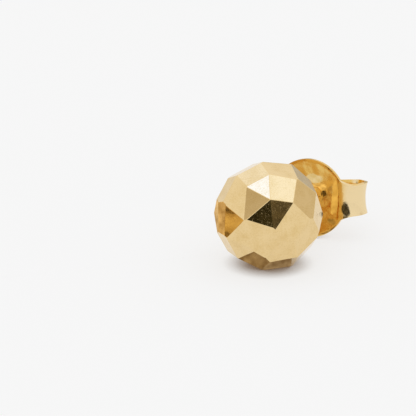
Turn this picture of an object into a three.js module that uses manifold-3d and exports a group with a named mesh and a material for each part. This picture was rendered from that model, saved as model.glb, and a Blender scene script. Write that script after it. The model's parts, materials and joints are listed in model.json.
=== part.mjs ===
// A faceted ball stud earring with its butterfly back, lying on a flat surface.
// Millimetres, +Z up. The ball faces -Y and the post runs back along +Y, dipping a little,
// because the stud rests on one facet of the ball and on the lower edge of the butterfly's disc.
import * as THREE from "three";
import { mergeVertices } from "three/addons/utils/BufferGeometryUtils.js";
import Module from "manifold-3d";

// Ball
const FACET_DISTANCE = 3.29; // from the centre to each facet: 7 mm over the facet corners
const BALL_WALL = 0.3; // at the middle of a facet
const PATTERN_LIFT = 5.8; // degrees that the facet pattern points up from the post's axis
const VENT_DIAMETER = 0.5;
const VENT_OFFSET = 1.35; // from the post's axis

// Post
const POST_DIAMETER = 0.8;
const POST_LENGTH = 7; // out of the ball
const POST_CHAMFER = 0.15;
const SOLDER_DIAMETER = 1.4;
const SOLDER_LENGTH = 0.3;

// Butterfly back
const SHEET = 0.22;
const DISC_DIAMETER = 5.2;
const DISC_DISTANCE = 5.7; // from the ball's centre to the plane of the disc's rim
const DISC_DEPTH = 0.34; // of the dish
const HOLE_CLEARANCE = 0.1; // between the post and the disc's hole, on each side
const GRIP_CLEARANCE = 0.05; // between the post and each ear's curl
const DIMPLE_DIAMETER = 1.7; // funnel that guides the post in
const DIMPLE_DEPTH = 0.14;
const EAR_WIDTH = 2.1;
const EAR_OVERHANG = 0.6; // of an ear's middle line, sideways past the disc's rim
const EAR_DEPTH = 1.5; // of an ear's middle line, from the back of the disc to its rearmost point
const BACK_SPIN = 4; // degrees that the back is turned on the post, right ear up

const POST_SIDES = 24;
const DISC_SIDES = 60;
const DISC_RINGS = 6;
const CURL_STEPS = 44;

// The facets, ring by ring from the front of the ball to its back. Tilt is measured from the pattern's
// front axis, and clock anticlockwise from the right as seen from the front, both in degrees. Depth is
// how far a facet lies outside the common facet distance, or inside it where negative, as a share of it:
// the cuts are a hand's work, so some stand a few hundredths of a millimetre off.
const FACET_RINGS = [
  { name: "hub", tilt: 22, depth: 0, clock: [197, 254, 317] },
  { name: "right hub", tilt: 22.6, depth: 0.007, clock: [25] },
  { name: "top hub", tilt: 23.5, depth: -0.01, clock: [81] },
  { name: "left hub", tilt: 22.8, depth: -0.005, clock: [120] },
  { name: "star", tilt: 39, depth: 0, clock: [78, 126, 189, 256, 316] },
  { name: "right star", tilt: 36.7, depth: 0.011, clock: [21] },
  { name: "kite", tilt: 53, depth: 0, clock: [2, 56, 101, 274, 318] },
  { name: "left kite", tilt: 53, depth: 0.012, clock: [145, 188, 230] },
  { name: "front girdle", tilt: 78, depth: 0, clock: [29, 76, 121, 253, 297, 345] },
  { name: "left front girdle", tilt: 78, depth: 0.012, clock: [162, 210] },
  { name: "back girdle", tilt: 101, depth: 0, clock: [12, 53, 99, 143, 227, 324] },
  { name: "left back girdle", tilt: 101, depth: 0.012, clock: [184] },
  { name: "shoulder", tilt: 127, depth: 0, clock: [76, 121, 162, 210, 253, 297] },
  { name: "upper right shoulder", tilt: 120, depth: 0, clock: [30] },
  { name: "lower right shoulder", tilt: 118, depth: 0, clock: [346] },
  { name: "collar", tilt: 150, depth: 0, clock: [27, 87, 147, 207, 267, 327] },
];

const GOLD = { color: 0xe3c384, roughness: 0.14, metalness: 1 };
const WARM_GOLD = { color: 0xdcab52, roughness: 0.22, metalness: 1 };

const wasm = await Module();
wasm.setup();

// A closed geometry as a solid that can be joined and cut.
function solid(geometry) {
  const bare = geometry.clone();
  bare.deleteAttribute("normal");
  bare.deleteAttribute("uv");
  const merged = mergeVertices(bare, 1e-5);
  return new wasm.Manifold(
    new wasm.Mesh({
      numProp: 3,
      vertProperties: merged.attributes.position.array,
      triVerts: new Uint32Array(merged.index.array),
    }),
  );
}

// A solid as a geometry with flat facets.
function geometryOf(body) {
  const mesh = body.getMesh();
  const geometry = new THREE.BufferGeometry()
    .setAttribute("position", new THREE.BufferAttribute(mesh.vertProperties, 3))
    .setIndex(new THREE.BufferAttribute(mesh.triVerts, 1))
    .toNonIndexed();
  geometry.computeVertexNormals();
  return geometry;
}

const postRadius = POST_DIAMETER / 2;
const discRadius = DISC_DIAMETER / 2;

const blankSize = 2.4 * FACET_DISTANCE;

// How far the post dips from level, from the two places that touch the surface: the ball's resting facet
// and the lowest point of the rim's rear edge.
const rimRear = DISC_DISTANCE + SHEET;
const dip =
  Math.asin(FACET_DISTANCE / Math.hypot(rimRear, discRadius)) - Math.atan2(discRadius, rimRear);

// Which way a facet of the pattern faces, with the post along +Y.
function facetDirection(tilt, clock) {
  const fromFront = THREE.MathUtils.degToRad(tilt);
  const around = THREE.MathUtils.degToRad(clock);
  return new THREE.Vector3(
    Math.sin(fromFront) * Math.cos(around),
    -Math.cos(fromFront),
    Math.sin(fromFront) * Math.sin(around),
  ).applyAxisAngle(new THREE.Vector3(1, 0, 0), -THREE.MathUtils.degToRad(PATTERN_LIFT));
}

// The block that is cut away beyond a facet.
function facetCutter(direction, distance) {
  const block = new THREE.BoxGeometry(2 * blankSize, 2 * blankSize, blankSize);
  block.translate(0, 0, distance + blankSize / 2);
  block.applyQuaternion(
    new THREE.Quaternion().setFromUnitVectors(new THREE.Vector3(0, 0, 1), direction),
  );
  return solid(block);
}

function facetedBall() {
  let ball = solid(new THREE.BoxGeometry(blankSize, blankSize, blankSize));
  for (const ring of FACET_RINGS)
    for (const clock of ring.clock)
      ball = ball.subtract(
        facetCutter(facetDirection(ring.tilt, clock), FACET_DISTANCE * (1 + ring.depth)),
      );
  const restingFacet = new THREE.Vector3(0, Math.sin(dip), -Math.cos(dip));
  const postSeat = new THREE.Vector3(0, 1, 0);
  for (const direction of [restingFacet, postSeat])
    ball = ball.subtract(facetCutter(direction, FACET_DISTANCE));
  return ball;
}

// A turned piece on the post's axis: each profile point is [radius, distance along +Y].
function turned(profile, sides) {
  const points = profile.map(([radius, along]) => new THREE.Vector2(radius, along));
  return solid(new THREE.LatheGeometry(points, sides));
}

function post() {
  const start = FACET_DISTANCE - BALL_WALL / 2;
  const tip = FACET_DISTANCE + POST_LENGTH;
  return turned(
    [
      [0, start],
      [SOLDER_DIAMETER / 2, start],
      [SOLDER_DIAMETER / 2, FACET_DISTANCE],
      [postRadius, FACET_DISTANCE + SOLDER_LENGTH],
      [postRadius, tip - POST_CHAMFER],
      [postRadius - POST_CHAMFER, tip],
      [0, tip],
    ],
    POST_SIDES,
  );
}

function ballStud() {
  const hollow = solid(new THREE.SphereGeometry(FACET_DISTANCE - BALL_WALL, 24, 16));
  const vent = turned(
    [
      [0, 0],
      [VENT_DIAMETER / 2, 0],
      [VENT_DIAMETER / 2, blankSize],
      [0, blankSize],
    ],
    POST_SIDES / 2,
  ).translate([0, 0, VENT_OFFSET]);
  return facetedBall().subtract(hollow).add(post()).subtract(vent);
}

// How far behind the rim's plane the front of the dish lies, at a distance from its middle.
function dishDepth(radius) {
  const dish = DISC_DEPTH * (1 - (radius / discRadius) ** 2);
  const dimple = DIMPLE_DEPTH * Math.max(0, 1 - (2 * radius) / DIMPLE_DIAMETER);
  return dish + dimple;
}

function dish() {
  const holeRadius = postRadius + HOLE_CLEARANCE;
  const front = [];
  for (let i = 0; i <= DISC_RINGS; i++) {
    const radius = THREE.MathUtils.lerp(holeRadius, discRadius, i / DISC_RINGS);
    front.push([radius, DISC_DISTANCE + dishDepth(radius)]);
  }
  const back = front.map(([radius, along]) => [radius, along + SHEET]).reverse();
  return turned([...front, ...back, front[0]], DISC_SIDES);
}

// Where the right ear leaves the disc, as shares of the disc's radius: there its middle line lies in the
// sheet of the dish.
const EAR_ROOT = [0.75, 0.86];

// The rest of the right ear's middle line, out to its rear and in to the post. Across is a share of the
// ear's reach from the post's axis, and back a share of its depth behind the disc.
const EAR_LINE = [
  { across: 0.77, back: -0.21 },
  { across: 0.87, back: -0.07 },
  { across: 0.96, back: 0.11 },
  { across: 1, back: 0.4 },
  { across: 1, back: 0.72 },
  { across: 0.93, back: 0.93 },
  { across: 0.8, back: 1 },
  { across: 0.64, back: 0.83 },
  { across: 0.46, back: 0.6 },
];

// The end of the curl, from where it bears on the post. Inward is counted in sheet thicknesses from there.
const EAR_CURL = [
  { inward: 0, back: 0.36 },
  { inward: 1, back: 0.2 },
  { inward: 3, back: 0.17 },
];

// The ear's strip as seen along the width of the ear: its middle line thickened to the sheet.
function earShape() {
  const reach = discRadius + EAR_OVERHANG;
  const discBack = DISC_DEPTH + DIMPLE_DEPTH + SHEET;
  const grip = postRadius + GRIP_CLEARANCE + SHEET / 2;
  const root = EAR_ROOT.map((share) => share * discRadius);
  const points = [
    ...root.map((x) => new THREE.Vector2(x, dishDepth(x) + SHEET / 2)),
    ...EAR_LINE.map(
      ({ across, back }) => new THREE.Vector2(across * reach, discBack + back * EAR_DEPTH),
    ),
    ...EAR_CURL.map(
      ({ inward, back }) => new THREE.Vector2(grip + inward * SHEET, discBack + back * EAR_DEPTH),
    ),
  ];
  const line = new THREE.SplineCurve(points);
  const outer = [];
  const inner = [];
  for (let i = 0; i <= CURL_STEPS; i++) {
    const point = line.getPointAt(i / CURL_STEPS);
    const along = line.getTangentAt(i / CURL_STEPS);
    const side = new THREE.Vector2(along.y, -along.x).multiplyScalar(SHEET / 2);
    outer.push(point.clone().add(side));
    inner.push(point.clone().sub(side));
  }
  return new THREE.Shape([...outer, ...inner.reverse()]);
}

function ear() {
  const strip = new THREE.ExtrudeGeometry(earShape(), {
    depth: EAR_WIDTH,
    bevelEnabled: false,
    steps: 1,
  });
  strip.translate(0, DISC_DISTANCE, -EAR_WIDTH / 2);
  return solid(strip);
}

function butterflyBack() {
  const bendStart = EAR_ROOT[0] * discRadius;
  const right = ear();
  const left = right.mirror([1, 0, 0]);
  const bentAway = new THREE.BoxGeometry(DISC_DIAMETER, 4 * DISC_DEPTH, EAR_WIDTH);
  bentAway.translate(bendStart + SHEET / 2 + DISC_DIAMETER / 2, DISC_DISTANCE, 0);
  const cut = solid(bentAway);
  return dish().subtract(cut).subtract(cut.mirror([1, 0, 0])).add(right).add(left);
}

function named(name, body, finish) {
  const mesh = new THREE.Mesh(geometryOf(body), new THREE.MeshStandardMaterial(finish));
  mesh.name = name;
  return mesh;
}

const stud = named("ball_stud", ballStud(), GOLD);
const back = named("butterfly_back", butterflyBack(), WARM_GOLD);
back.rotation.y = -THREE.MathUtils.degToRad(BACK_SPIN);

const earring = new THREE.Group();
earring.add(stud, back);
earring.rotation.x = -dip;

// The origin is on the resting surface, below the middle of the whole.
const group = new THREE.Group();
group.add(earring);
const bounds = new THREE.Box3().setFromObject(group, true);
const middle = bounds.getCenter(new THREE.Vector3());
earring.position.set(-middle.x, -middle.y, -bounds.min.z);

export default group;
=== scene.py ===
"""A faceted ball stud earring with its butterfly back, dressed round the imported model."""

import json
import math

import bpy
import bmesh
from mathutils import Matrix, Vector


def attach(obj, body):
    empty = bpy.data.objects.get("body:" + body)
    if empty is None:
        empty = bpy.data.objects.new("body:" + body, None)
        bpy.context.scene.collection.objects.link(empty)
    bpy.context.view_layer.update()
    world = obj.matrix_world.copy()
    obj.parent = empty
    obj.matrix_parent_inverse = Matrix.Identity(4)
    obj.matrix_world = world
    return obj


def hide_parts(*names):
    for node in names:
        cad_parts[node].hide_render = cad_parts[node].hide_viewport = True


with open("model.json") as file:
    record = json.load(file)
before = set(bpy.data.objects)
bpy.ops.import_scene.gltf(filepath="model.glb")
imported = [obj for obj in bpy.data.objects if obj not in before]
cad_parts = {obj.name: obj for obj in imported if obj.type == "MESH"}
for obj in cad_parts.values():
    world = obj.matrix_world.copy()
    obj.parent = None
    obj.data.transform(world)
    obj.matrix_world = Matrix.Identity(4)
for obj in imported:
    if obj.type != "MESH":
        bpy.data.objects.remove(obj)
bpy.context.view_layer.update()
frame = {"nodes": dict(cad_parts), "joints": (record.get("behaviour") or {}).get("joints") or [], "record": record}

bl_info = {
    "name": "Ball Stud Earring",
    "version": (1, 0, 0),
    "blender": (4, 5, 0),
    "location": "3D View > Sidebar > Earring",
    "description": "Faceted gold ball stud with a butterfly back, built round a packed model",
    "category": "Add Mesh",
}

MM = 0.001


def linear(colour):
    """An sRGB hex colour as the linear red, green, blue and alpha that Blender works in."""
    shares = [int(colour[i : i + 2], 16) / 255 for i in (1, 3, 5)]
    return (*(s / 12.92 if s <= 0.04045 else ((s + 0.055) / 1.055) ** 2.4 for s in shares), 1.0)


# What the frame says of the earring's place: the mounts lie on the post's axis and below the ball's centre.
MOUNTS = {mount["name"]: mount for mount in frame["record"]["mounts"]}
POST_AXIS = Vector(frame["joints"][0]["axis"]).normalized()
POST_TIP = Vector(MOUNTS["post_tip"]["pos_m"])
REST_POINT = Vector(MOUNTS["rest_facet"]["pos_m"])
BALL_CENTRE = POST_TIP - POST_AXIS * ((POST_TIP.y - REST_POINT.y) / POST_AXIS.y)
FACET_DISTANCE = BALL_CENTRE.z - REST_POINT.z
POST_DIP = math.atan2(-POST_AXIS.z, POST_AXIS.y)
TO_PART = Matrix.Translation(BALL_CENTRE) @ Matrix.Rotation(-POST_DIP, 4, "X")


def length(name, description, default_mm):
    """A size in metres, given in millimetres."""
    return bpy.props.FloatProperty(
        name=name, description=description, default=default_mm * MM,
        min=0, unit="LENGTH", subtype="DISTANCE", precision=6,
    )


def share(name, description, default):
    """A plain number from 0 to 1."""
    return bpy.props.FloatProperty(
        name=name, description=description, default=default, min=0, max=1, subtype="FACTOR"
    )


def angle(name, description, default_degrees):
    """An angle, given in degrees."""
    return bpy.props.FloatProperty(
        name=name, description=description, default=math.radians(default_degrees),
        subtype="ANGLE", unit="ROTATION",
    )


def colour(name, description, default):
    """A colour, given as an sRGB hex value."""
    return bpy.props.FloatVectorProperty(
        name=name, description=description, default=linear(default),
        size=4, min=0, max=1, subtype="COLOR",
    )


class EARRING_PG_ball(bpy.types.PropertyGroup):
    """Sizes of the faceted ball."""

    edge_width: length("Edge width", "Width of the worn edge between two facets", 0.035)
    wall: length("Wall", "Thickness of the shell at the middle of a facet", 0.3)
    vent_diameter: length("Vent", "Diameter of the vent hole beside the post", 0.5)
    vent_offset: length("Vent offset", "Distance of the vent hole from the post's axis", 1.35)


class EARRING_PG_post(bpy.types.PropertyGroup):
    """Sizes of the ear post."""

    diameter: length("Diameter", "Diameter of the wire", 0.8)
    chamfer: length("Chamfer", "Size of the rounding at the tip", 0.15)
    solder_diameter: length("Solder", "Diameter of the solder fillet at the ball", 1.4)
    solder_length: length("Solder length", "Length of the solder fillet along the post", 0.3)


class EARRING_PG_back(bpy.types.PropertyGroup):
    """Sizes of the butterfly back."""

    sheet: length("Sheet", "Thickness of the stamped sheet", 0.22)
    diameter: length("Disc", "Diameter of the dished disc", 5.2)
    distance: length("Distance", "From the ball's centre to the plane of the disc's rim", 5.7)
    depth: length("Dish", "Depth of the dish", 0.34)
    hole_clearance: length("Hole clearance", "Between the post and the disc's hole", 0.1)
    grip_clearance: length("Grip clearance", "Between the post and each ear's curl", 0.05)
    dimple_diameter: length("Dimple", "Diameter of the funnel round the hole", 1.7)
    dimple_depth: length("Dimple depth", "Depth of the funnel round the hole", 0.14)
    ear_width: length("Ear width", "Width of the strip that makes the ears", 2.1)
    ear_overhang: length("Ear overhang", "How far an ear reaches past the disc's rim", 0.6)
    ear_depth: length("Ear depth", "From the back of the disc to the rear of an ear", 1.5)
    ear_hollow: length("Ear hollow", "How far an ear's middle lies inside its edges", 0.14)
    root_hollow: length("Root hollow", "The same where the ear leaves the disc", 0.17)
    ear_flare: length("Ear flare", "How much wider on each side an ear is where it leaves the disc", 0.25)
    spin: angle("Spin", "Turn of the back on the post, right ear up", 4)


class EARRING_PG_finish(bpy.types.PropertyGroup):
    """Colours and polish of the two golds."""

    ball_colour: colour("Ball gold", "Colour of the polished ball and post", "#ECD09A")
    ball_film: colour("Ball film", "Colour of the ball where it has been handled", "#DEBE80")
    ball_roughness: share("Ball roughness", "Roughness of the cut facets", 0.07)
    sheet_colour: colour("Sheet gold", "Colour of the stamped sheet", "#E8C06C")
    # The ears' paler colour is partly wear and partly a painted reflection of the white tent.
    pale_reflection_and_wear_colour: colour("Worn sheet", "Colour of the ears where fingers rub them", "#F0D8A8")
    sheet_roughness: share("Sheet roughness", "Roughness of the stamped sheet", 0.12)


class EARRING_PG_stage(bpy.types.PropertyGroup):
    """The floor, the light tent and the camera."""

    floor_colour: colour("Floor", "Colour of the pale floor", "#F7F7F7")
    floor_glow: share("Floor glow", "How much of the floor's light comes through it from below", 0.75)
    azimuth: angle("Azimuth", "How far the camera stands to the right of the front", 28.4)
    elevation: angle("Elevation", "How far the camera looks down", 20.5)
    frame_width: length("Frame width", "Width that the camera sees at the ball", 26.67)
    camera_distance: length("Camera distance", "From the camera to the ball", 250)
    aside: length("Aside", "How far left of the ball's centre the camera aims", 3.904)
    above: length("Above", "How far above the ball's centre the camera aims", 0.449)
    tent_light: bpy.props.FloatProperty(
        name="Tent light", description="Brightness of the white tent all round", default=1.0, min=0
    )


def add_node(tree, kind, inputs=None, **settings):
    """Adds a node to a tree, with its settings, and fills or links its inputs by name or number."""
    node = tree.nodes.new(kind)
    for name, value in settings.items():
        setattr(node, name, value)
    for key, value in (inputs or {}).items():
        if isinstance(value, bpy.types.NodeSocket):
            tree.links.new(value, node.inputs[key])
        else:
            node.inputs[key].default_value = value
    return node


def new_object(name, mesh):
    """An object with this mesh, at the origin."""
    made = bpy.data.objects.new(name, mesh)
    bpy.context.scene.collection.objects.link(made)
    return made


def plain(made):
    """Turns what an object's modifiers make of it into its plain mesh."""
    evaluated = made.evaluated_get(bpy.context.evaluated_depsgraph_get())
    mesh = bpy.data.meshes.new_from_object(evaluated)
    made.modifiers.clear()
    old, made.data = made.data, mesh
    mesh.name = made.name
    bpy.data.meshes.remove(old)
    return made


def mesh_of(name, points, faces):
    """A mesh of points and faces."""
    mesh = bpy.data.meshes.new(name)
    mesh.from_pydata(points, [], faces)
    return mesh


def face_outwards(mesh, merge=None):
    """Turns the faces of a closed mesh outwards, after merging points that lie closer than a distance."""
    work = bmesh.new()
    work.from_mesh(mesh)
    if merge:
        bmesh.ops.remove_doubles(work, verts=work.verts, dist=merge)
    bmesh.ops.recalc_face_normals(work, faces=work.faces)
    work.to_mesh(mesh)
    work.free()


def lathe(name, profile, steps):
    """A turned solid round the Y axis from [radius, along] points that start and end on the axis."""
    points, faces = [], []
    rings = []
    for radius, along in profile:
        if radius == 0:
            rings.append([len(points)] * steps)
            points.append((0, along, 0))
            continue
        rings.append(list(range(len(points), len(points) + steps)))
        for i in range(steps):
            turn = 2 * math.pi * i / steps
            points.append((radius * math.cos(turn), along, radius * math.sin(turn)))
    for one, two in zip(rings, rings[1:]):
        for i in range(steps):
            j = (i + 1) % steps
            corners = [one[i], two[i], two[j], one[j]]
            faces.append([c for n, c in enumerate(corners) if c not in corners[:n]])
    mesh = mesh_of(name, points, faces)
    face_outwards(mesh)
    return mesh


def smooth(mesh, degrees):
    """Shades a mesh smooth, apart from edges sharper than an angle."""
    mesh.shade_smooth()
    mesh.set_sharp_from_angle(angle=math.radians(degrees))


# What counts as a facet of the ball in the frame: triangles larger than a sliver, whose planes lie this
# far from the ball's centre in facet distances. Two with nearly one direction belong to one facet.
SLIVER_AREA = (0.01 * MM) ** 2
NEAREST_PLANE, FURTHEST_PLANE = 0.97, 1.1
SAME_DIRECTION = 0.999


def facet_feet():
    """For each facet of the ball in the frame, the point nearest to the ball's centre, seen from there."""
    mesh = frame["nodes"]["ball_stud"].data
    mesh.calc_loop_triangles()
    found = []
    for face in mesh.loop_triangles:
        if face.area < SLIVER_AREA:
            continue
        distance = face.normal.dot(mesh.vertices[face.vertices[0]].co - BALL_CENTRE)
        if not NEAREST_PLANE < distance / FACET_DISTANCE < FURTHEST_PLANE:
            continue
        for one in found:
            if one[0].normalized().dot(face.normal) > SAME_DIRECTION:
                one[0] += face.normal * face.area
                one[1] += distance * face.area
                one[2] += face.area
                break
        else:
            found.append([face.normal * face.area, distance * face.area, face.area])
    return [normal.normalized() * (distance / area) for normal, distance, area in found]


def faceted_ball_tree():
    """Geometry Nodes that turn the feet of the facets into a hollow ball with softened edges.

    A plane's pole is its foot divided by the square of its distance. The convex hull of the poles is the
    dual of the ball: each of its edges is an edge between two facets, and each of its faces is a corner.
    A pole added just outside each edge of the hull cuts that edge of the ball to a narrow strip.
    """
    tree = bpy.data.node_groups.new("Faceted ball", "GeometryNodeTree")
    sockets = [
        ("Feet", "NodeSocketGeometry"),
        ("Edge width", "NodeSocketFloat"),
        ("Hollow radius", "NodeSocketFloat"),
        ("Vent radius", "NodeSocketFloat"),
        ("Vent offset", "NodeSocketFloat"),
        ("Reach", "NodeSocketFloat"),
        ("Finish", "NodeSocketMaterial"),
    ]
    for name, kind in sockets:
        tree.interface.new_socket(name, in_out="INPUT", socket_type=kind)
    tree.interface.new_socket("Ball", in_out="OUTPUT", socket_type="NodeSocketGeometry")
    given = add_node(tree, "NodeGroupInput").outputs

    def math_node(operation, *values):
        return add_node(tree, "ShaderNodeMath", dict(enumerate(values)), operation=operation).outputs[0]

    def vector_node(operation, inputs, output="Vector"):
        return add_node(tree, "ShaderNodeVectorMath", inputs, operation=operation).outputs[output]

    position = add_node(tree, "GeometryNodeInputPosition").outputs[0]
    square = vector_node("DOT_PRODUCT", {0: position, 1: position}, "Value")
    pole = vector_node("SCALE", {0: position, "Scale": math_node("DIVIDE", 1.0, square)})
    poles = add_node(tree, "GeometryNodeSetPosition", {"Geometry": given["Feet"], "Position": pole})
    hull = add_node(tree, "GeometryNodeConvexHull", {"Geometry": poles.outputs[0]}).outputs[0]

    ends = add_node(tree, "GeometryNodeInputMeshEdgeVertices").outputs
    one, two = ends["Position 1"], ends["Position 2"]
    length_one = vector_node("LENGTH", {0: one}, "Value")
    length_two = vector_node("LENGTH", {0: two}, "Value")
    total = vector_node(
        "ADD",
        {
            0: vector_node("SCALE", {0: one, "Scale": length_two}),
            1: vector_node("SCALE", {0: two, "Scale": length_one}),
        },
    )
    between = vector_node(
        "SCALE", {0: total, "Scale": math_node("DIVIDE", 1.0, math_node("ADD", length_one, length_two))}
    )
    cosine = math_node(
        "DIVIDE",
        vector_node("DOT_PRODUCT", {0: one, 1: two}, "Value"),
        math_node("MULTIPLY", length_one, length_two),
    )
    half_turn = math_node(
        "SQRT",
        math_node("DIVIDE", math_node("SUBTRACT", 1.0, cosine), math_node("ADD", 1.0, cosine)),
    )
    depth = math_node("MULTIPLY", math_node("MULTIPLY", given["Edge width"], 0.5), half_turn)
    length_between = vector_node("LENGTH", {0: between}, "Value")
    left = math_node("SUBTRACT", 1.0, math_node("MULTIPLY", depth, length_between))
    edge_pole = vector_node("SCALE", {0: between, "Scale": math_node("DIVIDE", 1.0, left)})
    edges = add_node(
        tree, "GeometryNodeMeshToPoints", {"Mesh": hull, "Position": edge_pole}, mode="EDGES"
    )
    facets = add_node(tree, "GeometryNodeMeshToPoints", {"Mesh": hull}, mode="VERTICES")
    joined = add_node(tree, "GeometryNodeJoinGeometry", {"Geometry": facets.outputs[0]})
    tree.links.new(edges.outputs[0], joined.inputs[0])
    dual = add_node(tree, "GeometryNodeConvexHull", {"Geometry": joined.outputs[0]}).outputs[0]

    normal = add_node(tree, "GeometryNodeInputNormal").outputs[0]
    away = vector_node("DOT_PRODUCT", {0: normal, 1: position}, "Value")
    corner = vector_node("SCALE", {0: normal, "Scale": math_node("DIVIDE", 1.0, away)})
    kept = add_node(
        tree, "GeometryNodeStoreNamedAttribute",
        {"Geometry": dual, "Name": "corner", "Value": corner},
        data_type="FLOAT_VECTOR", domain="FACE",
    )
    turned = add_node(tree, "GeometryNodeDualMesh", {"Mesh": kept.outputs[0]})
    read = add_node(tree, "GeometryNodeInputNamedAttribute", {"Name": "corner"}, data_type="FLOAT_VECTOR")
    placed = add_node(
        tree, "GeometryNodeSetPosition", {"Geometry": turned.outputs[0], "Position": read.outputs[0]}
    )
    bare = add_node(
        tree, "GeometryNodeRemoveAttribute", {"Geometry": placed.outputs[0], "Name": "corner"}
    )

    hollow = add_node(
        tree, "GeometryNodeMeshUVSphere",
        {"Segments": 48, "Rings": 24, "Radius": given["Hollow radius"]},
    )
    drill = add_node(
        tree, "GeometryNodeMeshCylinder",
        {"Vertices": 32, "Radius": given["Vent radius"], "Depth": given["Reach"]},
    )
    beside = add_node(
        tree, "ShaderNodeCombineXYZ",
        {"Y": math_node("MULTIPLY", given["Reach"], 0.5), "Z": given["Vent offset"]},
    )
    vent = add_node(
        tree, "GeometryNodeTransform",
        {"Geometry": drill.outputs[0], "Translation": beside.outputs[0], "Rotation": (math.pi / 2, 0, 0)},
    )
    cut = add_node(
        tree, "GeometryNodeMeshBoolean",
        {"Mesh 1": bare.outputs[0], "Mesh 2": hollow.outputs[0]},
        operation="DIFFERENCE", solver="EXACT",
    )
    tree.links.new(vent.outputs[0], cut.inputs["Mesh 2"])
    flat = add_node(tree, "GeometryNodeSetShadeSmooth", {"Geometry": cut.outputs[0], "Shade Smooth": False})
    real = add_node(tree, "GeometryNodeRealizeInstances", {"Geometry": flat.outputs[0]})
    dressed = add_node(
        tree, "GeometryNodeSetMaterial", {"Geometry": real.outputs[0], "Material": given["Finish"]}
    )
    add_node(tree, "NodeGroupOutput", {0: dressed.outputs[0]})
    return tree


def fill_modifier(modifier, values):
    """Sets a Geometry Nodes modifier's inputs by their sockets' identifiers."""
    for item in modifier.node_group.interface.items_tree:
        if item.in_out == "INPUT" and item.name in values:
            modifier[item.identifier] = values[item.name]


def polished_gold(finish):
    """Diamond-cut 14 carat yellow gold: the tool leaves flat, mirror-bright facets with a fine grain
    about 0.12 mm across, and handling leaves a faint warmer film in patches of about 0.9 mm."""
    return gold(
        "Diamond-cut 14 carat gold", finish.ball_colour, finish.ball_film, finish.ball_roughness,
        grain=0.12, grain_height=0.0025, wave=0.9, wave_height=0.006, scratches=0.17,
    )


def sheet_gold(finish):
    """Stamped 14 carat yellow gold sheet: richer in colour than the cut facets and paler on the ears' outward
    faces, which is partly wear and partly a painted reflection of the white tent, with the waves of about 0.8 mm
    that forming leaves."""
    return gold(
        "Stamped 14 carat gold sheet", finish.sheet_colour, finish.sheet_colour,
        finish.sheet_roughness,
        grain=0.15, grain_height=0.003, wave=0.8, wave_height=0.045, scratches=0.1,
        pale_reflection_and_wear=finish.pale_reflection_and_wear_colour,
    )


def gold(
    name, clean, film, roughness, grain, grain_height, wave, wave_height, scratches, pale_reflection_and_wear=None
):
    """A gold with a film in patches and with grain, waves and fine scratches in its polish, sized in millimetres.
    scratches is how much rougher their spots are, and pale_reflection_and_wear is the colour where the mesh's
    reflection_and_wear mark is full: partly wear and partly a painted pale reflection. The mark also flattens the
    waves."""
    material = bpy.data.materials.get(name)
    if material:
        return material
    material = bpy.data.materials.new(name)
    material.use_nodes = True
    tree = material.node_tree
    tree.nodes.clear()
    place = add_node(tree, "ShaderNodeTexCoord").outputs["Object"]
    fine = add_node(
        tree, "ShaderNodeTexNoise",
        {"Vector": place, "Scale": 1 / (grain * MM), "Detail": 2.0, "Roughness": 0.6},
    ).outputs[0]
    broad = add_node(
        tree, "ShaderNodeTexNoise",
        {"Vector": place, "Scale": 1 / (wave * MM), "Detail": 1.0, "Roughness": 0.5},
    ).outputs[0]
    both = add_node(
        tree, "ShaderNodeMath", {0: fine, 1: broad}, operation="ADD"
    ).outputs[0]
    share_of_film = add_node(
        tree, "ShaderNodeMapRange", {"Value": both, "From Min": 0.85, "From Max": 1.55}
    ).outputs[0]
    shade = add_node(
        tree, "ShaderNodeMix", {"Factor": share_of_film, "A": clean, "B": film}, data_type="RGBA"
    )
    tint = shade.outputs["Result"]
    strength = 1.0
    if pale_reflection_and_wear:
        # Paler where the mark is full: partly wear, partly a painted reflection.
        reflection_and_wear = add_node(tree, "ShaderNodeAttribute", attribute_name="reflection_and_wear").outputs["Fac"]
        tint = add_node(
            tree, "ShaderNodeMix", {"Factor": reflection_and_wear, "A": tint, "B": pale_reflection_and_wear}, data_type="RGBA"
        ).outputs["Result"]
        strength = add_node(
            tree, "ShaderNodeMapRange", {"Value": reflection_and_wear, "To Min": 1.0, "To Max": 0.2}
        ).outputs[0]
    waves = add_node(
        tree, "ShaderNodeBump", {"Height": broad, "Distance": wave_height * MM, "Strength": strength}
    ).outputs[0]
    grains = add_node(
        tree, "ShaderNodeBump",
        {"Height": fine, "Distance": grain_height * MM, "Strength": 1.0, "Normal": waves},
    ).outputs[0]
    scratched = add_node(
        tree, "ShaderNodeMapRange",
        {
            "Value": fine, "From Min": 0.5, "From Max": 0.72,
            "To Min": roughness, "To Max": roughness + scratches,
        },
    ).outputs[0]
    metal = add_node(
        tree, "ShaderNodeBsdfPrincipled",
        {"Base Color": tint, "Metallic": 1.0, "Roughness": scratched, "Normal": grains},
    )
    add_node(tree, "ShaderNodeOutputMaterial", {"Surface": metal.outputs[0]})
    return material


class EARRING_OT_ball(bpy.types.Operator):
    """Builds the faceted hollow ball"""

    bl_idname = "earring.ball"
    bl_label = "Faceted Ball"

    def execute(self, context):
        sizes = context.scene.earring_ball
        feet = [Matrix.Rotation(POST_DIP, 3, "X") @ foot for foot in facet_feet()]
        ball = new_object("faceted_ball", mesh_of("feet", feet, []))
        nodes = ball.modifiers.new("Facets", "NODES")
        nodes.node_group = faceted_ball_tree()
        values = {
            "Edge width": sizes.edge_width,
            "Hollow radius": FACET_DISTANCE - sizes.wall,
            "Vent radius": sizes.vent_diameter / 2,
            "Vent offset": sizes.vent_offset,
            "Reach": 2 * FACET_DISTANCE,
            "Finish": polished_gold(context.scene.earring_finish),
        }
        fill_modifier(nodes, values)
        plain(ball)
        face_outwards(ball.data, merge=0.001 * MM)
        ball.data.transform(TO_PART)
        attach(ball, "stud")
        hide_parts("ball_stud")
        return {"FINISHED"}


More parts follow.
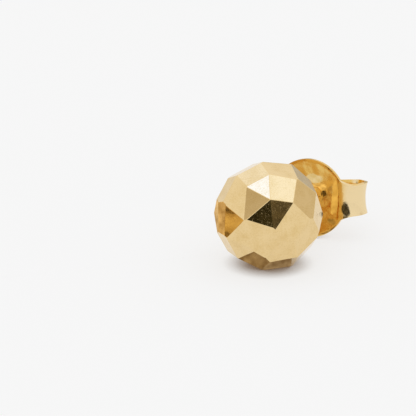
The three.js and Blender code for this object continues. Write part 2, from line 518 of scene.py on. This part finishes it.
class EARRING_OT_post(bpy.types.Operator):
    """Builds the ear post with its solder fillet and rounded tip"""

    bl_idname = "earring.post"
    bl_label = "Ear Post"

    def execute(self, context):
        sizes = context.scene.earring_post
        radius = sizes.diameter / 2
        tip = (POST_TIP - BALL_CENTRE).length
        seat = FACET_DISTANCE - context.scene.earring_ball.wall / 2
        solder_radius = sizes.solder_diameter / 2
        steps = 8
        quarter = [math.pi / 2 * i / steps for i in range(steps + 1)]
        profile = [(0, seat), (solder_radius, seat)]
        for turn in quarter:
            profile.append((
                solder_radius - (solder_radius - radius) * math.sin(turn),
                FACET_DISTANCE + sizes.solder_length * (1 - math.cos(turn)),
            ))
        for turn in quarter:
            profile.append((
                radius - sizes.chamfer * (1 - math.cos(turn)),
                tip - sizes.chamfer * (1 - math.sin(turn)),
            ))
        profile.append((0, tip))
        post = new_object("ear_post", lathe("ear_post", profile, 48))
        smooth(post.data, 40)
        post.data.materials.append(polished_gold(context.scene.earring_finish))
        post.data.transform(TO_PART)
        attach(post, "stud")
        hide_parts("ball_stud")
        return {"FINISHED"}


# An ear's middle line past the disc, out to its rear and in to the post: first shares of the ear's reach
# from the post's axis and of its depth behind the disc, then, for the end of the curl, sheet thicknesses
# in from where it bears on the post, with the same shares of depth.
EAR_ROOT = (0.7, 0.8)
EAR_LINE = (
    (0.734, -0.285), (0.819, -0.205), (0.894, -0.08), (0.96, 0.09), (1, 0.39), (1, 0.72),
    (0.93, 0.93), (0.8, 1), (0.64, 0.83), (0.46, 0.6),
)
EAR_CURL = ((0, 0.36), (1, 0.2), (3, 0.17))


def between_points(a, b, c, d, t):
    """The point a share t of the way from b to c on a smooth line through a, b, c and d."""
    square = 2 * a - 5 * b + 4 * c - d
    cube = 3 * b - a - 3 * c + d
    return 0.5 * (2 * b + (c - a) * t + square * t**2 + cube * t**3)


def spline(points, steps):
    """Evenly spaced points along a smooth line through the given ones."""
    fine_steps = 40
    ends = [2 * points[0] - points[1], *points, 2 * points[-1] - points[-2]]
    fine = []
    for four in zip(ends, ends[1:], ends[2:], ends[3:]):
        fine += [between_points(*four, i / fine_steps) for i in range(fine_steps)]
    fine.append(points[-1])
    along = [0]
    for a, b in zip(fine, fine[1:]):
        along.append(along[-1] + (b - a).length)
    line, n = [], 0
    for i in range(steps + 1):
        want = along[-1] * i / steps
        while n < len(fine) - 2 and along[n + 1] < want:
            n += 1
        t = (want - along[n]) / (along[n + 1] - along[n])
        line.append(fine[n].lerp(fine[n + 1], t))
    return line


def ease(value):
    """From 0 to 1 with a soft start and end."""
    value = min(1, max(0, value))
    return value * value * (3 - 2 * value)


# Small forms of the stamped sheet.
LIP = 0.12 * MM  # width of the flat rim round the dish
FUNNEL_PEAK = 1.6  # height of the funnel on the post's axis, in dimple depths: the hole cuts it lower
PULL_SPREAD = 0.45 * MM  # how far along the rim the bend of an ear is felt
HOLLOW_START, HOLLOW_END = 0.8 * MM, 1.8 * MM  # along the ear, where its hollow changes from root to ear
FLARE_END = 0.9 * MM  # along the ear, where it is down to its own width
DISH_END = 0.6 * MM  # along the ear, where the curve of the dish has faded out of it
STAMPED_EDGE = 0.04 * MM  # how far the sheet's edges are rounded

# How finely the sheet is divided: across an ear, along the rim from one ear to the next, from the hole to
# the rim, of which the last rows are the lip's, and along the ear's middle line.
ACROSS, ROUND, OUT, LIP_ROWS, ALONG = 14, 34, 20, 2, 160
CROWDING = 1.15  # above 1, the rows near the hole lie closer together


class ButterflySheet:
    """The middle of the back's sheet as points and faces. Y is along the post from the plane of the disc's
    rim, and the ears leave the disc along X."""

    def __init__(self, sizes, post_radius):
        self.sizes = sizes
        self.radius = sizes.diameter / 2
        self.hole = post_radius + sizes.hole_clearance
        self.half = sizes.ear_width / 2
        self.wide = self.half + sizes.ear_flare  # half the ear's width where it leaves the disc
        self.root = math.sqrt(self.radius**2 - self.wide**2)  # where the ear's edges leave the disc's rim
        self.line = self.middle_line(post_radius)
        self.points, self.faces = [], []
        columns = self.disc()
        for number, side in enumerate((1, -1)):
            first = number * (ACROSS + ROUND)
            root_row = [columns[(first + k) % len(columns)][-1] for k in range(ACROSS + 1)]
            self.ear(side, root_row)

    def dish(self, r, rim=None):
        """How far the dish and the funnel round the hole lie behind the rim's plane, at a radius."""
        sizes = self.sizes
        funnel = sizes.dimple_depth * ease(1 - 2 * r / sizes.dimple_diameter) * FUNNEL_PEAK
        return sizes.depth * max(0, 1 - (r / (rim or self.radius)) ** 2) + funnel

    def middle_line(self, post_radius):
        """The line along the middle of an ear, from inside the disc to where it grips the post."""
        sizes = self.sizes
        reach = self.radius + sizes.ear_overhang
        disc_back = sizes.depth + sizes.dimple_depth + sizes.sheet
        grip = post_radius + sizes.grip_clearance + sizes.sheet / 2
        roots = [share_out * self.radius for share_out in EAR_ROOT]
        points = [Vector((x, self.dish(x) + sizes.sheet / 2)) for x in roots]
        points += [Vector((a * reach, disc_back + b * sizes.ear_depth)) for a, b in EAR_LINE]
        points += [Vector((grip + a * sizes.sheet, disc_back + b * sizes.ear_depth)) for a, b in EAR_CURL]
        return spline(points, ALONG)

    def bend(self, x):
        """How far the sheet is bent behind the dish, near the ear's root."""
        if x <= self.line[0].x:
            return 0
        for a, b in zip(self.line, self.line[1:]):
            if a.x <= x <= b.x:
                y = a.y + (b.y - a.y) * (x - a.x) / (b.x - a.x)
                return y - self.dish(x) - self.sizes.sheet / 2
        return 0

    def channel(self, x, z):
        """How deep the disc is pressed in by the crease that widens from its hole to an ear."""
        share_out = (abs(x) - self.hole) / (self.root - self.hole)
        width = self.hole + (self.wide - self.hole) * max(0, share_out)
        return self.sizes.root_hollow / 2 * ease(share_out) * max(0, 1 - (z / width) ** 2)

    def middle(self, x, z):
        """How far the middle of the sheet lies behind the rim's plane, on the disc."""
        r = math.hypot(x, z)
        half_root = self.root / 2
        pull = ease(1 - (abs(z) - self.wide) / PULL_SPREAD) * ease((abs(x) - half_root) / half_root)
        deep = self.dish(r) * pull + self.dish(r, self.radius - LIP) * (1 - pull) + self.channel(x, z)
        return deep + self.sizes.sheet / 2 + self.bend(abs(x)) * pull

    def rim_point(self, side, step):
        """A point of the disc's outline: 1 and -1 are the ear's corners, and 2 is the next ear's."""
        if step <= 1:
            x, z = self.root, self.wide * step
        else:
            root_turn = math.atan2(self.wide, self.root)
            turn = root_turn + (math.pi - 2 * root_turn) * (step - 1)
            x, z = self.radius * math.cos(turn), self.radius * math.sin(turn)
        return side * x, side * z

    def share_of_way(self, row):
        """Where a row lies on the way from the hole to the rim, from 0 to 1."""
        lip_share = LIP / (self.radius - self.hole)
        inside = min(1, row / (OUT - LIP_ROWS)) ** CROWDING
        return inside * (1 - lip_share) + max(0, row - OUT + LIP_ROWS) * lip_share / LIP_ROWS

    def disc(self):
        """Adds the disc and gives its columns, which run from the hole to the rim."""
        steps = [-1 + 2 * i / ACROSS for i in range(ACROSS)] + [1 + i / ROUND for i in range(ROUND)]
        columns = []
        for side, step in [(side, step) for side in (1, -1) for step in steps]:
            x, z = self.rim_point(side, step)
            turn = math.atan2(z, x)
            column = []
            for row in range(OUT + 1):
                t = self.share_of_way(row)
                px = (1 - t) * self.hole * math.cos(turn) + t * x
                pz = (1 - t) * self.hole * math.sin(turn) + t * z
                column.append(len(self.points))
                self.points.append((px, self.middle(px, pz), pz))
            columns.append(column)
        for one, two in zip(columns, columns[1:] + columns[:1]):
            self.faces += [(one[i], one[i + 1], two[i + 1], two[i]) for i in range(OUT)]
        return columns

    def ear(self, side, root_row):
        """Adds an ear, from its row of points on the disc's rim to the end of its curl."""
        sizes = self.sizes
        start = next(i for i, point in enumerate(self.line) if point.x > self.root)
        line = self.line[start:]
        step_length = (self.line[1] - self.line[0]).length
        rows = [root_row]
        for i in range(0, len(line), 2):
            ahead = line[min(i + 1, len(line) - 1)] - line[max(i - 1, 0)]
            outward = Vector((ahead.y, -ahead.x)).normalized()
            run = (i + 1) * step_length
            edge = self.half + sizes.ear_flare * max(0, 1 - run / FLARE_END) ** 2
            along = ease((run - HOLLOW_START) / (HOLLOW_END - HOLLOW_START))
            hollow = sizes.root_hollow + (sizes.ear_hollow - sizes.root_hollow) * along
            row = []
            for k in range(ACROSS + 1):
                z = edge * (-1 + 2 * k / ACROSS)
                shallow = self.dish(math.hypot(self.root, z)) - self.dish(self.root)
                bow = (z / edge) ** 2
                dip = hollow * (bow * (1 + ease(run / HOLLOW_START)) - 1) / 2
                x = line[i].x + outward.x * dip
                y = line[i].y + outward.y * dip + shallow * (1 - ease(run / DISH_END))
                row.append(len(self.points))
                self.points.append((side * x, y, side * z))
            rows.append(row)
        for one, two in zip(rows, rows[1:]):
            self.faces += [(one[k], two[k], two[k + 1], one[k + 1]) for k in range(ACROSS)]


def thicken(sheet, thickness):
    """Gives a sheet its wall, rounds its stamped edges and smooths it."""
    wall = sheet.modifiers.new("Sheet", "SOLIDIFY")
    wall.thickness, wall.offset, wall.use_even_offset = thickness, 0, True
    edge = sheet.modifiers.new("Stamped edge", "BEVEL")
    edge.width, edge.segments, edge.limit_method = STAMPED_EDGE, 2, "ANGLE"
    edge.angle_limit = math.radians(50)
    edge.use_clamp_overlap = True
    fine = sheet.modifiers.new("Smooth sheet", "SUBSURF")
    fine.levels = fine.render_levels = 1
    plain(sheet)
    face_outwards(sheet.data)
    sheet.data.shade_smooth()


def mark_wear_and_pale_reflection(mesh, radius):
    """Marks how pale each point is painted: most on the ears' outward faces, partly wear where fingers press them
    together and partly a painted reflection of the white tent.
    """
    pale_marks = mesh.attributes.new("reflection_and_wear", "FLOAT", "POINT")
    for vertex, mark in zip(mesh.vertices, pale_marks.data):
        sideways = vertex.normal.x * math.copysign(1, vertex.co.x)
        past_disc = (abs(vertex.co.x) - 0.8 * radius) / (0.1 * radius)
        mark.value = ease((sideways - 0.1) / 0.4) * ease(past_disc)


class EARRING_OT_back(bpy.types.Operator):
    """Builds the butterfly back from one sheet: dished disc, hole and two curled ears"""

    bl_idname = "earring.back"
    bl_label = "Butterfly Back"

    def execute(self, context):
        sizes = context.scene.earring_back
        shape = ButterflySheet(sizes, context.scene.earring_post.diameter / 2)
        back = new_object("butterfly_sheet", mesh_of("butterfly_sheet", shape.points, shape.faces))
        thicken(back, sizes.sheet)
        mark_wear_and_pale_reflection(back.data, shape.radius)
        for vertex in back.data.vertices:  # the wall's edge is brought back to the disc's round outline
            over = math.hypot(vertex.co.x, vertex.co.z) / shape.radius
            if over > 1 and abs(vertex.co.z) > shape.wide:
                vertex.co.x, vertex.co.z = vertex.co.x / over, vertex.co.z / over
        back.data.materials.append(sheet_gold(context.scene.earring_finish))
        along_post = Matrix.Translation((0, sizes.distance, 0))
        back.data.transform(TO_PART @ Matrix.Rotation(-sizes.spin, 4, "Y") @ along_post)
        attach(back, "back")
        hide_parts("butterfly_back")
        return {"FINISHED"}


def emitter(name, light, dark, grain):
    """A glow that only the metal shows, mottled between two colours in patches of a size in metres."""
    material = bpy.data.materials.new(name)
    material.use_nodes = True
    tree = material.node_tree
    tree.nodes.clear()
    place = add_node(tree, "ShaderNodeTexCoord").outputs["Object"]
    shade = (*light, 1.0)
    if dark:
        patch = add_node(
            tree, "ShaderNodeTexNoise",
            {"Vector": place, "Scale": 1 / grain, "Detail": 2.0, "Roughness": 0.6},
        ).outputs[0]
        spread = add_node(
            tree, "ShaderNodeMapRange", {"Value": patch, "From Min": 0.38, "From Max": 0.62}
        ).outputs[0]
        shade = add_node(
            tree, "ShaderNodeMix", {"Factor": spread, "A": (*dark, 1.0), "B": shade}, data_type="RGBA"
        ).outputs["Result"]
    seen = add_node(tree, "ShaderNodeEmission", {"Color": shade, "Strength": 1.0}).outputs[0]
    add_node(tree, "ShaderNodeOutputMaterial", {"Surface": seen})
    return material


def card(name, centre, facing, wide, high, light, dark, grain, corners):
    """A card that only the metal reflects, a rectangle or, with many corners, an oval, round a centre and
    square to a direction. Lengths are in metres."""
    reach = math.sqrt(2) if corners == 4 else 1
    outline = []
    for i in range(corners):
        turn = 2 * math.pi * (i + 0.5) / corners
        outline.append((math.cos(turn) * reach * wide / 2, math.sin(turn) * reach * high / 2, 0))
    made = new_object(name, mesh_of(name, outline, [tuple(range(corners))]))
    made.matrix_world = Matrix.Translation(centre) @ facing.to_track_quat("Z", "Y").to_matrix().to_4x4()
    made.data.materials.append(emitter(name, light, dark, grain))
    made.visible_camera = made.visible_diffuse = made.visible_shadow = False
    made.visible_transmission = made.visible_volume_scatter = False
    return made


# The cards that the metal shows: name, azimuth, elevation, distance from the ball's centre in millimetres,
# width, height and light, then for a mottled one its darker colour, the size of its patches and its number
# of corners. Azimuth 0 is in front of the ball, and positive is to its right. The softboxes make the two
# bright facets, the flags keep others from flaring, the shades make the dark diamond and the golds the warm
# facets on the left, where gold_edge and gold_foot paint small dark spots. The last five are painted
# reflections: they stand close in front of the back and paint the pale, bright and dark spots on its disc.
CARDS = (
    ("softbox_left", -45, 71, 300, 120, 100, (1.25, 1.6, 2.9)),
    ("softbox_right", 106, 72, 320, 140, 120, (1.15, 1.28, 1.6)),
    ("softbox_back", -118, 45, 320, 140, 120, (1.05, 1.13, 1.35)),
    ("flag_front", -27, 44, 300, 100, 90, (0.62, 0.56, 0.46)),
    ("flag_right", 137, 18, 300, 160, 140, (0.74, 0.69, 0.60)),
    ("flag_back", -168, 3, 60, 40, 20, (0.56, 0.54, 0.48)),
    ("shade_left", 16, 21.5, 11.3, 4.6, 2.9, (0.07, 0.06, 0.025), (0.001, 0.001, 0.001), 0.3, 4),
    ("shade_right", 45.5, 23, 11.3, 4.2, 3.2, (0.22, 0.185, 0.115), (0.004, 0.004, 0.003), 0.3, 4),
    ("shade_between", 30, 22.5, 12, 9, 3.2, (0.10, 0.09, 0.04), (0.001, 0.001, 0.001), 0.3, 4),
    ("gold_front", -54.8, -4, 8.26, 6.4, 6.4, (0.86, 0.60, 0.21), (0.38, 0.21, 0.05), 1.1, 48),
    ("gold_side", -92, -11.5, 7.6, 6.4, 3.4, (1.0, 0.76, 0.42), (0.42, 0.26, 0.09), 0.8, 4),
    # Painted reflections: two small dark ovals paint dark spots into the warm facets.
    ("gold_edge", -44.5, 4.2, 5.7, 1.1, 0.5, (0.30, 0.18, 0.05), (0.03, 0.02, 0.01), 0.25, 24),
    ("gold_foot", -45, -13, 6.0, 0.8, 0.5, (0.40, 0.24, 0.07), (0.10, 0.06, 0.02), 0.25, 24),
    # Painted reflections: pale, bright and dark spots, a bright band and a darker patch on the back's disc.
    ("disc_pale", -178.2, 2.9, 5.42, 1.0, 0.5, (0.95, 1.1, 1.9), (0.8, 0.85, 1.0), 0.3, 24),
    ("disc_bright", 178.2, -1.8, 5.41, 1.0, 0.45, (1.3, 1.15, 0.9), (0.7, 0.55, 0.35), 0.3, 24),
    ("disc_dark", 174.2, -5.2, 5.47, 0.32, 0.3, (0.16, 0.11, 0.05), (0.03, 0.02, 0.01), 0.2, 24),
    ("disc_band", 165, -4.4, 5.69, 0.5, 2.2, (1.05, 0.88, 0.55), (0.8, 0.62, 0.33), 0.5, 24),
    ("disc_foot", 166.6, -20.5, 5.49, 0.7, 0.3, (0.55, 0.40, 0.20), (0.32, 0.24, 0.12), 0.3, 24),
)


TENT_LOW, TENT_HIGH = 0.88, 1.04  # brightness of the tent at the horizon and overhead
FLOOR_REACH = 3.0  # half the floor's width, in metres
FLOOR_GAP = 0.004 * MM  # how far the floor lies below the facet that rests on it
# Painted contact shadow: the floor's glow is dimmed towards this brown under the gold.
CONTACT_SHADOW_COLOUR = linear("#614221")  # the floor's glow right under the gold
CONTACT_REACH = 2.0 * MM  # how far from the gold the glow is dimmed


def light_tent(strength):
    """A world that is white all round, a little brighter overhead."""
    world = bpy.data.worlds.new("Light tent")
    world.use_nodes = True
    tree = world.node_tree
    tree.nodes.clear()
    away = add_node(tree, "ShaderNodeTexCoord").outputs["Generated"]
    height = add_node(tree, "ShaderNodeSeparateXYZ", {0: away}).outputs["Z"]
    bright = add_node(
        tree, "ShaderNodeMapRange",
        {"Value": height, "To Min": strength * TENT_LOW, "To Max": strength * TENT_HIGH},
    ).outputs[0]
    tent = add_node(tree, "ShaderNodeBackground", {"Color": (1, 1, 1, 1), "Strength": bright})
    add_node(tree, "ShaderNodeOutputWorld", {"Surface": tent.outputs[0]})
    return world


def white_paper(shade, glow_share):
    """Matt white paper over a light, so that it glows; close to the gold the glow is dimmed and warmed into a
    painted contact shadow.
    """
    paper = bpy.data.materials.new("Matt white paper")
    paper.use_nodes = True
    tree = paper.node_tree
    tree.nodes.clear()
    lit = [channel * (1 - glow_share) for channel in shade[:3]]
    matt = add_node(tree, "ShaderNodeBsdfDiffuse", {"Color": (*lit, 1.0)})
    open_sky = add_node(
        tree, "ShaderNodeAmbientOcclusion", {"Color": (1, 1, 1, 1), "Distance": CONTACT_REACH}
    ).outputs["AO"]
    full = add_node(
        tree, "ShaderNodeMapRange", {"Value": open_sky, "From Min": 0.08, "From Max": 0.58}
    ).outputs[0]
    # Painted contact shadow: the glow turns brown where the gold stands close.
    shadowed_glow = add_node(
        tree, "ShaderNodeMix", {"Factor": full, "A": CONTACT_SHADOW_COLOUR, "B": shade}, data_type="RGBA"
    ).outputs["Result"]
    glow = add_node(tree, "ShaderNodeEmission", {"Color": shadowed_glow, "Strength": glow_share})
    both = add_node(tree, "ShaderNodeAddShader", {0: matt.outputs[0], 1: glow.outputs[0]})
    add_node(tree, "ShaderNodeOutputMaterial", {"Surface": both.outputs[0]})
    return paper


def add_cards():
    """Adds the cards of the list, one more behind the ball that paints a dark reflection on the ear and one on the
    floor that paints the contact shadow into the metal's reflections.
    """
    for name, azimuth, elevation, distance, wide, high, light, *patches in CARDS:
        a, e = math.radians(azimuth), math.radians(elevation)
        away = Vector((math.sin(a) * math.cos(e), -math.cos(a) * math.cos(e), math.sin(e)))
        dark, grain, corners = patches or (None, 0, 4)
        card(
            name, BALL_CENTRE + away * distance * MM, away, wide * MM, high * MM,
            light, dark, grain * MM, corners,
        )
    # Painted reflection: a dark card just off the ear paints a dark blob on its lower corner.
    card(
        "ear_shade", BALL_CENTRE + Vector((2.87, 5.04, -0.97)) * MM, Vector((0.37, -0.91, 0.18)),
        1.3 * MM, 0.55 * MM, (0.10, 0.085, 0.05), (0.015, 0.012, 0.008), 0.2 * MM, 24,
    )
    # Painted shadow: a brown oval on the floor, seen only in the metal, paints the contact shadow into the low
    # facets.
    card(
        "floor_shade", REST_POINT + Vector((0.3, -1.3, 0.02)) * MM, Vector((0, 0, 1)),
        4.2 * MM, 3.4 * MM, (0.44, 0.34, 0.22), (0.22, 0.15, 0.08), 1.0 * MM, 48,
    )


def add_camera(look):
    """Adds a camera with a long lens that looks at a point beside the ball's centre."""
    camera = bpy.data.objects.new("camera", bpy.data.cameras.new("camera"))
    bpy.context.scene.collection.objects.link(camera)
    a, e = look.azimuth, look.elevation
    right = Vector((math.cos(a), math.sin(a), 0))
    back = Vector((math.sin(a) * math.cos(e), -math.cos(a) * math.cos(e), math.sin(e)))
    up = back.cross(right)
    aim = BALL_CENTRE - right * look.aside + up * look.above
    camera.location = aim + back * look.camera_distance
    camera.rotation_mode = "QUATERNION"
    camera.rotation_quaternion = back.to_track_quat("Z", "Y")
    camera.data.sensor_width = 36
    camera.data.lens = 36 * look.camera_distance / look.frame_width
    camera.data.clip_start, camera.data.clip_end = 0.01, 10
    return camera


class EARRING_OT_stage(bpy.types.Operator):
    """Builds the pale floor, the soft light and the camera"""

    bl_idname = "earring.stage"
    bl_label = "Stage"

    def execute(self, context):
        look = context.scene.earring_stage
        context.scene.view_settings.view_transform = "Standard"
        context.scene.world = light_tent(look.tent_light)
        signs = ((-1, -1), (1, -1), (1, 1), (-1, 1))
        corners = [(x * FLOOR_REACH, y * FLOOR_REACH, -FLOOR_GAP) for x, y in signs]
        floor = new_object("floor", mesh_of("floor", corners, [(0, 1, 2, 3)]))
        floor.data.materials.append(white_paper(look.floor_colour, look.floor_glow))
        add_cards()
        context.scene.camera = add_camera(look)
        return {"FINISHED"}


class EARRING_PT_panel(bpy.types.Panel):
    """Lists the earring's pieces with their sizes"""

    bl_idname = "EARRING_PT_panel"
    bl_label = "Ball Stud Earring"
    bl_space_type = "VIEW_3D"
    bl_region_type = "UI"
    bl_category = "Earring"

    def draw(self, context):
        for name, operator in PARTS:
            box = self.layout.box()
            group = getattr(context.scene, name)
            for key in group.bl_rna.properties.keys():
                if key not in ("rna_type", "name"):
                    box.prop(group, key)
            if operator:
                box.operator(operator)


PARTS = [
    ("earring_finish", None),
    ("earring_ball", "earring.ball"),
    ("earring_post", "earring.post"),
    ("earring_back", "earring.back"),
    ("earring_stage", "earring.stage"),
]
GROUPS = {
    "earring_finish": EARRING_PG_finish,
    "earring_ball": EARRING_PG_ball,
    "earring_post": EARRING_PG_post,
    "earring_back": EARRING_PG_back,
    "earring_stage": EARRING_PG_stage,
}
CLASSES = [
    *GROUPS.values(),
    EARRING_OT_ball,
    EARRING_OT_post,
    EARRING_OT_back,
    EARRING_OT_stage,
    EARRING_PT_panel,
]


def register():
    for one in CLASSES:
        bpy.utils.register_class(one)
    for name, group in GROUPS.items():
        setattr(bpy.types.Scene, name, bpy.props.PointerProperty(type=group))


def unregister():
    for name in GROUPS:
        delattr(bpy.types.Scene, name)
    for one in reversed(CLASSES):
        bpy.utils.unregister_class(one)


def main():
    register()
    bpy.ops.earring.ball()
    bpy.ops.earring.post()
    bpy.ops.earring.back()
    bpy.ops.earring.stage()


if __name__ == "__main__":
    main()
